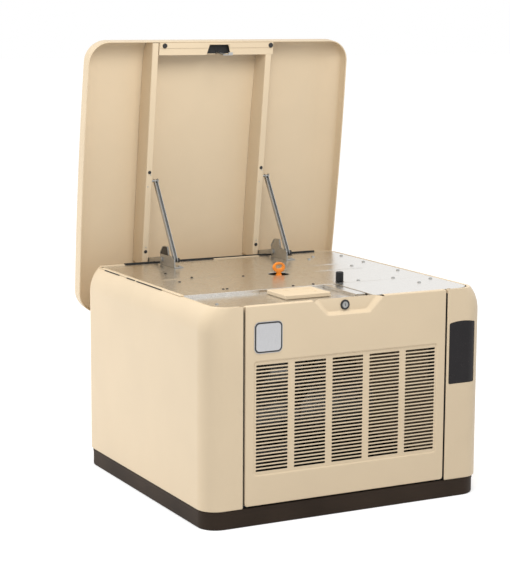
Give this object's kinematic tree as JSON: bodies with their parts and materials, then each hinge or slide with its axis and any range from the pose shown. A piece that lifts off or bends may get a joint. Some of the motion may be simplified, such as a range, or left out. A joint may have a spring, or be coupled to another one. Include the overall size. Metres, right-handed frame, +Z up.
{
  "type": "home standby generator",
  "caption": "Box-shaped standby generator enclosure with a louvred front panel, lifting lid on link arms, engine and alternator inside.",
  "frame": {"origin": "on the ground, under the middle of the enclosure", "axes": "+Z up, +X to the right and +Y to the back as seen from the louvred front"},
  "size_m": [0.956, 1.0246, 1.3786],
  "materials": {
    "beige_paint": "satin powder coat",
    "base_paint": "satin",
    "deck_sheet": "bright mill",
    "zinc": "zinc plated",
    "black_steel": "black",
    "cast_aluminium": "as cast",
    "machined_steel": "brushed",
    "copper_winding": "varnished",
    "rubber": "matte",
    "black_plastic": "matte",
    "orange_plastic": "gloss",
    "smoked_window": "smoked, gloss"
  },
  "bodies": {
    "enclosure": {"air_cleaner": "black_plastic", "alternator_stator": "cast_aluminium", "base_pan": "base_paint", "battery": "black_plastic", "control_box": "black_plastic", "control_window": "smoked_window", "crankcase": "cast_aluminium", "cylinder_front": "cast_aluminium", "cylinder_head_front": "cast_aluminium", "cylinder_head_rear": "cast_aluminium", "cylinder_rear": "cast_aluminium", "deck_corner_plate": "deck_sheet", "deck_front_tray": "deck_sheet", "deck_main_plate": "deck_sheet", "deck_right_plate": "deck_sheet", "deck_side_seal": "beige_paint", "dipstick_tube": "zinc", "enclosure_frame": "black_steel", "engine_cradle": "black_steel", "exhaust_pipe_front": "zinc", "exhaust_pipe_rear": "zinc", "fan_shroud": "black_steel", "fuel_mixer": "cast_aluminium", "gas_hose": "rubber", "gas_regulator": "cast_aluminium", "hinge_bracket_left": "zinc", "hinge_bracket_right": "zinc", "left_panel": "beige_paint", "muffler": "zinc", "oil_filler_pipe": "black_plastic", "oil_filter": "black_steel", "pivot_bolt_left": "black_steel", "pivot_bolt_right": "black_steel", "rear_panel": "beige_paint", "right_panel": "beige_paint", "rubber_mount_front": "rubber", "rubber_mount_rear": "rubber", "starter_motor": "black_steel", "tray_hatch": "beige_paint"},
    "stay_left": {"stay_left": "zinc"},
    "lid": {"lid_shell": "beige_paint", "lid_channel_left": "beige_paint", "lid_channel_right": "beige_paint", "lid_cross_channel": "beige_paint", "lid_striker": "zinc"},
    "stay_right": {"stay_right": "zinc"},
    "rear_link_left": {"rear_link_left": "zinc"},
    "rear_link_right": {"rear_link_right": "zinc"},
    "front_panel": {"front_panel": "beige_paint", "blank_plate": "machined_steel"},
    "lock": {"lock_cylinder": "black_steel", "lock_cam": "zinc"},
    "dipstick": {"dipstick": "orange_plastic"},
    "oil_filler_cap": {"oil_filler_cap": "black_plastic"},
    "rotating_group": {"crankshaft": "machined_steel", "cooling_fan": "cast_aluminium", "alternator_rotor": "copper_winding"},
    "breaker_toggle": {"breaker_toggle": "black_plastic"},
    "mode_switch": {"mode_switch": "black_plastic"}
  },
  "joints": [
    {"name": "lid_stay", "type": "hinge", "parent": "enclosure", "child": "stay_left", "pos_m": [-0.243, 0.303, 0.673], "axis": [1, 0, 0], "range_deg": [0, 123.88]},
    {"name": "lid_pivot", "type": "hinge", "parent": "stay_left", "child": "lid", "pos_m": [-0.243, 0.45882, 0.91758], "axis": [1, 0, 0], "range_deg": [-41.39, 0]},
    {"name": "stay_right_pivot", "type": "hinge", "parent": "enclosure", "child": "stay_right", "pos_m": [0.17, 0.303, 0.673], "axis": [1, 0, 0], "range_deg": [0, 123.89]},
    {"name": "rear_link_left_pivot", "type": "hinge", "parent": "enclosure", "child": "rear_link_left", "pos_m": [-0.243, 0.38713, 0.668], "axis": [1, 0, 0], "range_deg": [0, 192.25]},
    {"name": "rear_link_right_pivot", "type": "hinge", "parent": "enclosure", "child": "rear_link_right", "pos_m": [0.17, 0.38713, 0.668], "axis": [1, 0, 0], "range_deg": [0, 192.25]},
    {"name": "front_panel_slide", "type": "slide", "parent": "enclosure", "child": "front_panel", "axis": [0, 1, 0], "range_m": [-0.3, 0]},
    {"name": "lock_turn", "type": "hinge", "parent": "front_panel", "child": "lock", "pos_m": [-0.016, -0.449, 0.628], "axis": [0, 1, 0], "range_deg": [0, 90]},
    {"name": "dipstick_pull", "type": "slide", "parent": "enclosure", "child": "dipstick", "axis": [0, 0, -1], "range_m": [-0.36, 0]},
    {"name": "filler_cap_turn", "type": "hinge", "parent": "enclosure", "child": "oil_filler_cap", "pos_m": [0.119, -0.175, 0.649], "axis": [0, 0, 1], "range_deg": [0, 90]},
    {"name": "crank_spin", "type": "hinge", "parent": "enclosure", "child": "rotating_group", "pos_m": [0, 0.06, 0.215], "axis": [1, 0, 0], "continuous": true},
    {"name": "breaker_throw", "type": "hinge", "parent": "enclosure", "child": "breaker_toggle", "pos_m": [0.4, -0.396, 0.495], "axis": [1, 0, 0], "range_deg": [-25, 25]},
    {"name": "mode_rock", "type": "hinge", "parent": "enclosure", "child": "mode_switch", "pos_m": [0.4, -0.396, 0.44], "axis": [1, 0, 0], "range_deg": [-12, 12]}
  ],
  "couplings": [
    {"joint": "lid_pivot", "follows": "lid_stay", "ratio": -0.33405},
    {"joint": "stay_right_pivot", "follows": "lid_stay", "ratio": 1},
    {"joint": "rear_link_left_pivot", "follows": "lid_stay", "ratio": 1.5518},
    {"joint": "rear_link_right_pivot", "follows": "lid_stay", "ratio": 1.5518}
  ]
}
